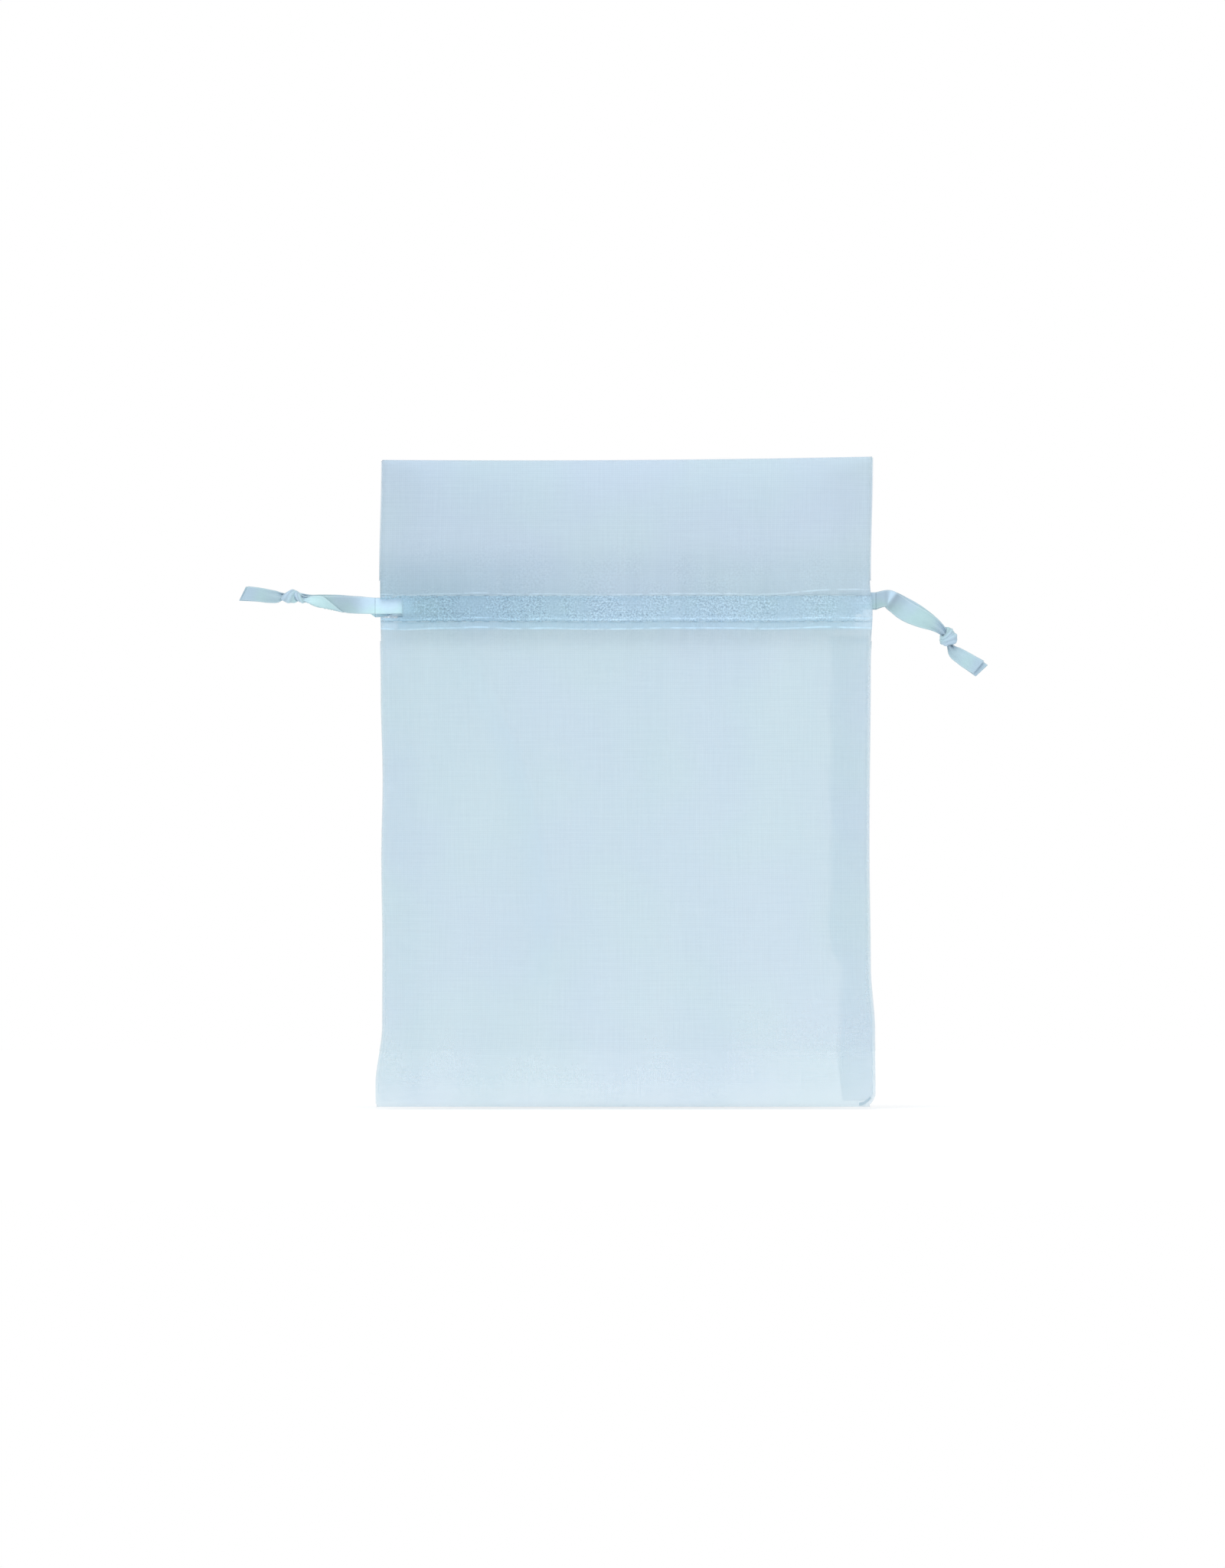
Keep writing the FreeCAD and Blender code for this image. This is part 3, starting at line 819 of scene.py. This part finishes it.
def left_tail_keys(face, reach, drop):
    """Keys of a left tail; reach and drop move its end."""
    x, z = knot_centre("left")
    root = low("left_knot", X)
    end = low("left_front_tail", X)
    tip = middle("left_front_tail", Z) + drop
    return [
        (x, z, 0.1 * face, 0.45, 0, 0.5, 0.9),
        (root + 0.1, z + 0.05, 0.12 * face, 0.6, 0, 0.55, 0.88),
        (root - 0.9, z - 0.05, 0.2 * face, 1.05, 0, 0.35, 0.9),
        (root - 2.2, z + 0.05, 0.28 * face, 1.22, 0, 0.15, 0.88),
        (root - 4.2, z + 0.35, 0.3 * face, 1.3, 0, 0.05, 0.92),
        (end + 0.2 - reach, tip, 0.3 * face, 1.32, 0, 0, 0.94),
    ]


def right_tail_keys(face, reach, drop):
    """Keys of a right tail; reach and drop move its end."""
    x, z = knot_centre("right")
    end_x = high("right_front_tail", X) - 0.15
    end_z = z - 5.5
    return [
        (x, z, 0.1 * face, 0.45, 0, 0.5, 0.9),
        (x + 0.55, z - 1.75, 0.15 * face, 0.6, 0, 0.55, 0.82),
        (x + 1.0, z - 2.45, 0.22 * face, 1.05, 0, 0.35, 0.88),
        (x + 2.7, z - 3.7, 0.28 * face, 1.42, 0, 0.12, 1.0),
        (x + 4.2, z - 4.65, 0.3 * face, 1.5, 0, 0, 1.0),
        (end_x + 0.8 * reach, end_z - 0.5 * reach + drop, 0.3 * face, 1.5, 0, 0, 0.97),
    ]


# -------- materials

# the header, casing and hem tints are lighter copies of the body's organza, painted light that makes up for
# the shade among the plies; the corner fold's tint is a darker copy, painted shade in the curl
BODY_TINT = (0.6, 0.745, 0.83, 1)
HEADER_TINT = (0.69, 0.818, 0.91, 1)
CASING_TINT = (0.65, 0.835, 0.965, 1)
HEM_TINT = (0.74, 0.93, 1.0, 1)
FOLD_TINT = (0.42, 0.57, 0.66, 1)
SATIN_TINT = (0.43, 0.6, 0.67, 1)
THREAD_TINT = (0.68, 0.83, 0.9, 1)
BOUND_EDGE_TINT = (0.54, 0.7, 0.77, 1)
# (height in the pouch, how much light one face of the cloth stops there)
SHEERNESS = [(0, 0.24), (1, 0.27), (5, 0.31), (12, 0.335), (22, 0.358), (45, 0.382), (76, 0.405),
             (HEM, 0.43), (UPPER_ROW, 0.45), (98, 0.43), (108, 0.4), (LIP, 0.41)]
# (height, half width, strength) of painted highlight lines on the ridges by the rows of stitches and the
# hem, then of painted shade lines under them
PAINTED_HIGHLIGHT_LINES = [(UPPER_ROW + 0.3, 0.26, 0.13), (LOWER_ROW + 0.55, 0.24, 0.15), (HEM + 0.02, 0.26, 0.2)]
PAINTED_SHADE_LINES = [(UPPER_ROW - 0.5, 0.5, -0.09), (LOWER_ROW - 0.02, 0.24, -0.13)]
# the front's crease, painted as shade: x and height where it is furthest right, bend and strength
CREASE_X = -15.0
CREASE_HEIGHT = 30.0
CREASE_BEND = 0.005
CREASE_SHADE = 0.13
# powers by which the painted shade darkens red first and blue last
PAINTED_SHADE_POWERS = (1.3, 0.84, 0.68)
# distances between the cloth's threads and between the ribbon's ribs
THREAD_PITCH = 0.36
RIB_PITCH = 0.24
# how strongly threads, slubs, long streaks and speckle show
THREAD_SHADE = 0.035
SLUB_SHADE = 0.045
STREAK_SHADE = 0.1
LEAST_SPECKLE = 0.03


class Nodes:
    """Shorthand for building a node tree."""

    def __init__(self, tree):
        self.tree = tree

    def add(self, kind, **settings):
        node = self.tree.nodes.new("ShaderNode" + kind)
        inputs = settings.pop("inputs", {})
        for key, value in settings.items():
            setattr(node, key, value)
        for key, value in inputs.items():
            self.feed(node.inputs[key], value)
        return node

    def feed(self, socket, value):
        if isinstance(value, bpy.types.NodeSocket):
            self.tree.links.new(value, socket)
        else:
            socket.default_value = value

    def math(self, operation, first, second=0.0, clamp=False):
        inputs = {0: first, 1: second}
        return self.add("Math", operation=operation, use_clamp=clamp, inputs=inputs).outputs[0]

    def product(self, first, second):
        return self.math("MULTIPLY", first, second)

    def total(self, first, second):
        return self.math("ADD", first, second)

    def less(self, first, second):
        return self.math("SUBTRACT", first, second)

    def line(self, value, slope, start):
        """Start plus slope times the value."""
        inputs = {0: value, 1: slope, 2: start}
        return self.add("Math", operation="MULTIPLY_ADD", inputs=inputs).outputs[0]

    def mix(self, share, first, second):
        return self.add("Mix", data_type="RGBA", inputs={0: share, 6: first, 7: second}).outputs[2]

    def noise(self, vector, scale, detail=2.0, stretch=(1, 1, 1)):
        scaled = self.add("VectorMath", operation="MULTIPLY", inputs={0: vector, 1: stretch})
        inputs = {"Vector": scaled.outputs[0], "Scale": scale, "Detail": detail}
        return self.add("TexNoise", inputs=inputs).outputs["Fac"]

    def stripes(self, vector, direction, pitch):
        """Soft stripes, pitch millimetres apart."""
        inputs = {"Vector": vector, "Scale": TURN / 20 / pitch}
        return self.add("TexWave", bands_direction=direction, inputs=inputs).outputs["Fac"]

    def times(self, first, second):
        """Product of two colours."""
        inputs = {0: first[:3] if isinstance(first, tuple) else first, 1: second}
        return self.add("VectorMath", operation="MULTIPLY", inputs=inputs).outputs[0]

    def scale(self, colour, factor):
        inputs = {0: colour, "Scale": factor}
        return self.add("VectorMath", operation="SCALE", inputs=inputs).outputs[0]

    def weave(self):
        """The place on the cloth or ribbon, as a vector and as its three parts; on a ribbon the third part
        is its painted shading.
        """
        vector = self.add("Attribute", attribute_name="weave").outputs["Vector"]
        return vector, self.add("SeparateXYZ", inputs={0: vector}).outputs

    def ramp(self, value, low_end, high_end):
        """An easy step from 0 at the low end to 1 at the high end."""
        inputs = {"Value": value, "From Min": low_end, "From Max": high_end}
        return self.add("MapRange", interpolation_type="SMOOTHSTEP", inputs=inputs).outputs["Result"]


def new_material(name):
    material = bpy.data.materials.new(name)
    material.use_nodes = True
    nodes = Nodes(material.node_tree)
    shader = material.node_tree.nodes["Principled BSDF"]
    return material, nodes, shader


def tinted(nodes, weave, base, scale, amount):
    """The colour drifts slowly between a lilac and a teal cast."""
    drift = nodes.noise(weave, scale, 1.0, (1, 1, 0.1))
    cast = nodes.mix(nodes.ramp(drift, 0.35, 0.65), (0.985, 0.955, 1.05, 1), (0.985, 1.035, 0.985, 1))
    return nodes.times(base, nodes.mix(amount, (1, 1, 1, 1), cast))


def seam_light_and_shade(nodes, split):
    """Painted highlight on the standing cloth by the rows of stitches and the hem, and painted shade on the
    cloth under it.
    """
    along = nodes.add("CombineXYZ", inputs={0: split["X"], 2: split["Z"]})
    broken = nodes.ramp(nodes.noise(along.outputs[0], 0.35, 3.0), 0.3, 0.6)
    wander = nodes.product(nodes.less(nodes.noise(along.outputs[0], 0.06, 1.0), 0.5), 1.6)
    lifted = nodes.product(nodes.ramp(split["X"], 22, 46), nodes.ramp(split["Y"], 90, 93))
    height = nodes.less(nodes.total(split["Y"], wander), nodes.product(lifted, 0.8))
    totals = []
    for lines in (PAINTED_HIGHLIGHT_LINES, PAINTED_SHADE_LINES):
        total = 0.0
        for centre, width, strength in lines:
            away = nodes.math("ABSOLUTE", nodes.less(height, centre))
            line = nodes.product(nodes.ramp(away, width, 0.0), broken)
            total = nodes.total(nodes.product(line, strength), total)
        totals.append(total)
    return totals


def shaded(nodes, colour, factor):
    """Darken a colour by a factor of painted shade, red first and blue last."""
    channels = [nodes.math("POWER", factor, power) for power in PAINTED_SHADE_POWERS]
    joined = nodes.add("CombineXYZ", inputs=dict(enumerate(channels)))
    return nodes.times(colour, joined.outputs[0])


def crease(nodes, split):
    """Painted shade of the one soft crease down the front: a band where the cloth stops more light."""
    above = nodes.less(split["Y"], CREASE_HEIGHT)
    lean = nodes.product(nodes.product(above, above), CREASE_BEND)
    away = nodes.less(nodes.total(split["X"], lean), CREASE_X)
    band = nodes.product(nodes.ramp(away, -5.0, -0.5), nodes.ramp(away, 2.4, 0.4))
    reach = nodes.product(nodes.ramp(split["Y"], 17, 30), nodes.ramp(split["Y"], 86, 74))
    front = nodes.product(nodes.math("LESS_THAN", split["Z"], 0.0), CREASE_SHADE)
    return nodes.product(nodes.product(band, reach), front)


def painted_shade_near_casing(nodes, split, left):
    """Colour factor of painted shade: the cloth is a little darker near the casing, most of all to the
    left, and slightly darker to the left everywhere.
    """
    near = nodes.product(nodes.ramp(split["Y"], HEM - 5, LOWER_ROW + 0.5),
                         nodes.ramp(split["Y"], UPPER_ROW + 11, UPPER_ROW - 0.5))
    across_share = nodes.ramp(split["X"], 4, -42)
    depth = nodes.total(nodes.product(across_share, left), 0.08)
    everywhere = nodes.product(across_share, left * 0.3)
    return nodes.less(nodes.less(1.0, everywhere), nodes.product(near, depth))


def grain_of(nodes, weave, split, grain):
    """Fine threads, slubs both ways, and a speckle where plies lie together."""
    warp_threads = nodes.stripes(weave, "X", THREAD_PITCH)
    threads = nodes.product(warp_threads, nodes.stripes(weave, "Y", THREAD_PITCH))
    warp = nodes.noise(weave, 1.0, 2.0, (2.6, 0.12, 1))
    weft = nodes.noise(weave, 1.0, 2.0, (0.12, 2.6, 1))
    slub = nodes.less(nodes.total(warp, weft), 1.0)
    streaks = nodes.less(nodes.noise(weave, 1.0, 1.0, (0.1, 0.016, 0.1)), 0.5)
    patches = nodes.total(nodes.ramp(nodes.noise(weave, 0.17, 1.0), 0.38, 0.6), 0.3)
    speckle = nodes.product(nodes.less(nodes.noise(weave, 2.7, 2.5), 0.5), patches)
    near = nodes.product(nodes.ramp(split["Y"], HEM - 4, HEM + 2),
                         nodes.ramp(split["Y"], UPPER_ROW + 12, UPPER_ROW + 1))
    total = nodes.product(nodes.less(threads, 0.25), THREAD_SHADE)
    total = nodes.total(total, nodes.product(slub, SLUB_SHADE))
    total = nodes.total(total, nodes.product(streaks, STREAK_SHADE))
    return nodes.total(total, nodes.product(speckle, nodes.line(near, grain, LEAST_SPECKLE)))


def sheerness(nodes, split):
    """SHEERNESS as a ramp up the pouch."""
    level = nodes.add("ValToRGB")
    nodes.feed(level.inputs[0], nodes.math("DIVIDE", split["Y"], LIP))
    stops = level.color_ramp.elements
    stops[0].position, stops[1].position = 0, 1
    for height, value in SHEERNESS[1:-1]:
        stops.new(height / LIP).color = (value, value, value, 1)
    for stop, (_, value) in ((stops[0], SHEERNESS[0]), (stops[-1], SHEERNESS[-1])):
        stop.color = (value, value, value, 1)
    return level.outputs[0]


def thinness(nodes, split):
    """How much sheerer the cloth is by the side seams and on the right."""
    seam = nodes.ramp(nodes.math("ABSOLUTE", split["X"]), WAIST - 1.3, WAIST + 0.2)
    return nodes.total(nodes.product(seam, 0.2), nodes.product(nodes.ramp(split["X"], 16, 32), 0.06))


def organza(name, tint, grain, share=1.0, left_painted_shade=0.05, top_tint=None):
    """Sheer plain weave with painted highlight and shade by the seams, along the front's crease and near
    the casing; the share says how much light it stops beside the body's cloth.

    The top tint is a lighter copy, painted light for cloth above the facing's hem, seen against the turned
    plies that shade it from behind.
    """
    material, nodes, shader = new_material(name)
    weave, split = nodes.weave()
    # painted highlight along the stitched ridges and the hem, and painted shade under them
    light, painted_seam_shade = seam_light_and_shade(nodes, split)
    uneven = nodes.total(nodes.total(grain_of(nodes, weave, split, grain), light), crease(nodes, split))
    thinned = nodes.product(nodes.less(1.0, thinness(nodes, split)), share)
    opacity = nodes.math("MULTIPLY", nodes.total(uneven, sheerness(nodes, split)), thinned, clamp=True)
    base = nodes.mix(nodes.ramp(split["Y"], HEM - 0.5, HEM + 0.2), tint, top_tint or tint)
    colour = tinted(nodes, weave, base, 0.045, 0.22)
    colour = shaded(nodes, colour, nodes.product(nodes.total(painted_seam_shade, 1.0), painted_shade_near_casing(nodes, split, left_painted_shade)))
    nodes.feed(shader.inputs["Base Color"], nodes.scale(colour, nodes.total(light, 1.0)))
    nodes.feed(shader.inputs["Alpha"], opacity)
    set_inputs(shader, {"Roughness": 0.7, "Specular IOR Level": 0.25, "Sheen Weight": 0.08,
                        "Sheen Roughness": 0.4})
    return material


def satin(name):
    """Narrow satin ribbon: fine ribs across it, a bound edge on each side, a soft sheen, and painted
    highlight and shade along it.
    """
    material, nodes, shader = new_material(name)
    weave, split = nodes.weave()
    colour = tinted(nodes, weave, SATIN_TINT, 0.16, 1.0)
    uneven = nodes.line(nodes.noise(weave, 0.9, 3.0, (1, 2, 0)), 0.1, 0.95)
    # the weave's third part is the ribbon's painted highlight and shade
    colour = nodes.scale(colour, nodes.product(uneven, split["Z"]))
    edge = nodes.ramp(nodes.math("ABSOLUTE", split["Y"]), 1.2, 1.34)
    nodes.feed(shader.inputs["Base Color"], nodes.mix(nodes.product(edge, 0.35), colour, BOUND_EDGE_TINT))
    ribs = nodes.stripes(weave, "X", RIB_PITCH)
    relief = nodes.add("Bump", inputs={"Height": ribs, "Strength": 0.25, "Distance": 0.03 * MM})
    nodes.feed(shader.inputs["Normal"], relief.outputs[0])
    set_inputs(shader, {"Roughness": 0.38, "Specular IOR Level": 0.4, "Anisotropic": 0.5,
                        "Sheen Weight": 0.15})
    return material


def sewing_thread(name, cover):
    """Fine thread; cover is how much of the light it stops."""
    material, nodes, shader = new_material(name)
    weave, _ = nodes.weave()
    lit = tuple(np.clip(np.array(THREAD_TINT) * 1.15, 0, 1))
    nodes.feed(shader.inputs["Base Color"], nodes.mix(nodes.noise(weave, 6.0, 1.0), THREAD_TINT, lit))
    set_inputs(shader, {"Alpha": cover, "Roughness": 0.55})
    return material


def set_inputs(shader, values):
    for name, value in values.items():
        shader.inputs[name].default_value = value


def paint(obj, material):
    obj.data.materials.clear()
    obj.data.materials.append(material)


# -------- the pouch

body_cloth = organza("organza_body", BODY_TINT, 0.1, top_tint=CASING_TINT)
casing_cloth = organza("organza_casing", CASING_TINT, 0.95, left_painted_shade=0.14)
header_cloth = organza("organza_header", HEADER_TINT, 0.2, left_painted_shade=0.1)
hem_cloth = organza("organza_hem", HEM_TINT, 0.95, 0.34)
ruffle_cloth = organza("organza_header_allowance", BODY_TINT, 0.1, 0.2)
fold_cloth = organza("organza_corner_fold", FOLD_TINT, 0.1, 2.2)
allowance_cloths = {LEFT: organza("organza_left_allowance", BODY_TINT, 0.1, 0.08),
                    RIGHT: organza("organza_right_allowance", BODY_TINT, 0.1, 0.34)}
ribbon_satin = satin("ribbon_satin")
casing_thread = sewing_thread("casing_thread", 0.7)
seam_thread = sewing_thread("seam_thread", 0.3)


def make_cloth(label, side):
    """The cloth of one half of the pouch."""
    for make, name, cloth in ((body_half, "pouch_body_", body_cloth),
                              (casing_half, "casing_", casing_cloth),
                              (header_half, "header_", header_cloth),
                              (hem_half, "facing_hem_", hem_cloth)):
        paint(make(name + label, side), cloth)
    seam = allowance("seam_allowance_" + label, side, 1.2, HEM - 1.5, "body",
                     label + "_seam_allowance", 5 + side)
    paint(seam, allowance_cloths[side])
    ruffle = allowance("header_allowance_" + label, side, UPPER_ROW + 2.2, LIP - 0.9, "header",
                       label + "_header_seam_allowance", 15 + side)
    paint(ruffle, ruffle_cloth)


def make_stitching(label, side):
    """All rows of stitches of one half."""
    casing_rows = [row_route(side, face, z) for face in (FRONT, BACK) for z in (LOWER_ROW, UPPER_ROW)]
    casing_nodes = [face + row + "_casing_stitches" for face in FACES for row in ("_lower", "_upper")]
    side_rows = [seam_route(side, face, 2, SEAM_TOP) for face in (FRONT, BACK)]
    header_rows = [seam_route(side, face, UPPER_ROW + 3, LIP - 1) for face in (FRONT, BACK)]
    for name, runs, zone, nodes, thread in (
            ("casing_stitching_", casing_rows, "casing", casing_nodes, casing_thread),
            ("side_stitching_", side_rows, "body", [label + "_side_stitches"], seam_thread),
            ("header_stitching_", header_rows, "header", [label + "_header_stitches"], seam_thread)):
        paint(stitched(name + label, runs, side, zone, *nodes), thread)


def make_ribbons():
    """Both drawstrings: loops in the casing, strands, knots and tails."""
    ribbons = [
        tunnel_ribbon("left", 1.3),
        tunnel_ribbon("right", 1.1),
        strand("left", "front", LEFT_FRONT_KEYS),
        strand("left", "back", LEFT_BACK_KEYS),
        strand("right", "front", RIGHT_FRONT_KEYS),
        strand("right", "back", RIGHT_BACK_KEYS),
        knot("left", (-1, 0.12), LEFT_WRAPS),
        knot("right", (0.55, -0.83), RIGHT_WRAPS),
    ]
    for face_name, reach, drop in (("front", 0.0, 0.0), ("back", 0.35, -0.1)):
        left_keys = left_tail_keys(FACES[face_name], reach, drop)
        right_keys = right_tail_keys(FACES[face_name], reach * 2, drop * 3)
        ribbons.append(tail("left", face_name, left_keys, -1.1))
        ribbons.append(tail("right", face_name, right_keys, 0.6))
    for ribbon in ribbons:
        paint(ribbon, ribbon_satin)


for side_label, side_sign in SIDES.items():
    make_cloth(side_label, side_sign)
    make_stitching(side_label, side_sign)
paint(corner_fold("corner_fold_right"), fold_cloth)
make_ribbons()

# -------- floor, light and camera

# lengths of the floor and the picture are in metres
FLOOR_HALF = 1.4
FLOOR_GAP = 0.0004
# the world's light on the pouch; the camera sees it at 1
SKY = 0.67
LENS = 800
SENSOR = 36
# the picture shows this many times the pouch's height
FRAME_HEIGHT = (cad_high - cad_low).z * 2.4205
# the picture's middle, from the middle of the CAD box
FRAMING = Vector((0.0002, 0, -0.00015))
# a ray crosses both sides of every sheet of cloth on its way
CLOTH_BOUNCES = 64


def floor():
    """A pale table top with a little light of its own."""
    mesh = bpy.data.meshes.new("floor")
    corners = [(-1, -1), (1, -1), (1, 1), (-1, 1)]
    height = cad_low.z - FLOOR_GAP
    mesh.from_pydata([(FLOOR_HALF * x, FLOOR_HALF * y, height) for x, y in corners], [], [(0, 1, 2, 3)])
    material, _, shader = new_material("pale_floor")
    set_inputs(shader, {"Base Color": (0.97, 0.97, 0.97, 1), "Emission Color": (1, 1, 1, 1),
                        "Emission Strength": 0.12, "Roughness": 0.9, "Specular IOR Level": 0})
    mesh.materials.append(material)
    return add_object("floor", mesh)


def sun(name, strength, spread, towards):
    """A soft light from the direction given."""
    light = bpy.data.lights.new(name, "SUN")
    light.energy = strength
    light.angle = np.radians(spread)
    lamp = add_object(name, light)
    lamp.rotation_mode = "QUATERNION"
    lamp.rotation_quaternion = Vector(towards).to_track_quat("Z", "Y")
    return lamp


def studio_world(strength):
    """White behind everything the camera sees, and an even soft light for the rest."""
    world = bpy.data.worlds.new("studio")
    bpy.context.scene.world = world
    world.use_nodes = True
    nodes = Nodes(world.node_tree)
    back = world.node_tree.nodes["Background"]
    back.inputs["Color"].default_value = (1, 1, 1, 1)
    ray = nodes.add("LightPath").outputs["Is Camera Ray"]
    nodes.feed(back.inputs["Strength"], nodes.line(ray, 1 - strength, strength))


def camera():
    """A long lens looking straight along +Y."""
    lens = bpy.data.cameras.new("camera")
    lens.lens = LENS
    lens.sensor_width = SENSOR
    distance = FRAME_HEIGHT / 2 / (SENSOR / 2 / LENS)
    lens.clip_end = distance * 3
    eye = add_object("camera", lens)
    centre = (cad_low + cad_high) / 2 + FRAMING
    eye.location = centre + Vector((0, -distance, 0))
    eye.rotation_euler = (np.pi / 2, 0, 0)
    bpy.context.scene.camera = eye
    return eye


lamps = [sun("key", 1.18, 50, (-0.08, -0.8, 0.8)), sun("back_fill", 0.37, 90, (0.4, 0.8, 0.5))]
floor()
camera()
studio_world(SKY)
bpy.context.scene.view_settings.view_transform = "Standard"
bpy.context.scene.cycles.transparent_max_bounces = CLOTH_BOUNCES
